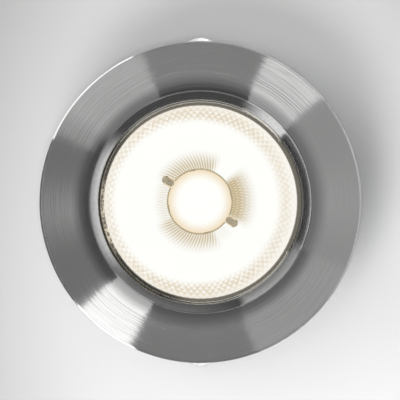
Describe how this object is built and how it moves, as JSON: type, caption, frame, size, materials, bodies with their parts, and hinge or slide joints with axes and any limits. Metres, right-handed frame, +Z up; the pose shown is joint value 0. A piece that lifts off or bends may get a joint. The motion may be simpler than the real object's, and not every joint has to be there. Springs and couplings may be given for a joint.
{
  "type": "recessed downlight",
  "caption": "Round recessed downlight with a brushed convex bezel, faceted reflector behind glass, finned heatsink and sprung clips that hold it in a ceiling cut-out.",
  "frame": {"origin": "On the light's axis, in the plane of the ceiling's face: the back of the ceiling gasket.", "axes": "+Z points up into the ceiling, along the axis; the light shines towards -Z. +X points along the cable gland. The spring clips are at -Y (a) and +Y (b)."},
  "size_m": [0.08, 0.0822, 0.0656],
  "materials": {
    "brushed_bezel": "lathe-brushed satin, turned in fine circles",
    "cast_aluminium": "cast, blasted, matt",
    "gasket_foam": "closed-cell foam, matt",
    "spring_steel": "drawn wire, bright",
    "clear_glass": "clear, polished",
    "mirror_coat": "metallised, bright, faceted",
    "silicone": "soft silicone, matt",
    "board_white": "white coated metal-core board",
    "phosphor": "warm white when lit",
    "contact_brass": "stamped, tinned edges",
    "holder_white": "moulded, fine grain",
    "screw_steel": "zinc plated",
    "lead_sleeve": "silicone insulation",
    "sheet_steel": "pressed stainless sheet",
    "terminal_plastic": "moulded nylon",
    "black_plastic": "moulded nylon, fine grain",
    "rubber": "soft rubber"
  },
  "bodies": {
    "housing": {"bezel": "brushed_bezel", "mounting_collar": "cast_aluminium", "ceiling_gasket": "gasket_foam", "snap_ring": "spring_steel", "front_glass": "clear_glass", "reflector": "mirror_coat", "cushion_seal": "silicone", "led_board": "board_white", "led_phosphor": "phosphor", "led_contacts": "contact_brass", "led_holder": "holder_white", "holder_screws": "screw_steel", "thermal_pad": "silicone", "led_leads": "lead_sleeve", "heatsink": "cast_aluminium", "heatsink_screws": "screw_steel", "body_seal": "silicone", "bracket_screws": "screw_steel", "terminal_block": "terminal_plastic", "terminal_screws": "contact_brass", "rear_cover": "black_plastic", "rear_seal": "silicone", "rear_cover_screws": "screw_steel", "gland_body": "black_plastic", "gland_nut": "black_plastic", "gland_grommet": "rubber", "clip_bracket_a": "sheet_steel", "clip_pin_a": "screw_steel", "clip_spring_a": "spring_steel", "clip_bracket_b": "sheet_steel", "clip_pin_b": "screw_steel", "clip_spring_b": "spring_steel"},
    "clip_a": {"spring_clip_a": "sheet_steel"},
    "clip_b": {"spring_clip_b": "sheet_steel"}
  },
  "joints": [
    {"name": "clip_a_flip", "type": "hinge", "parent": "housing", "child": "clip_a", "pos_m": [0, -0.0297, 0.0135], "axis": [-1, 0, 0], "range_deg": [0, 140], "stiffness_Nm_per_rad": 0.03, "springref_deg": -40.11, "deforming": ["clip_spring_a"]},
    {"name": "clip_b_flip", "type": "hinge", "parent": "housing", "child": "clip_b", "pos_m": [0, 0.0297, 0.0135], "axis": [1, 0, 0], "range_deg": [0, 140], "stiffness_Nm_per_rad": 0.03, "springref_deg": -40.11, "deforming": ["clip_spring_b"]}
  ]
}
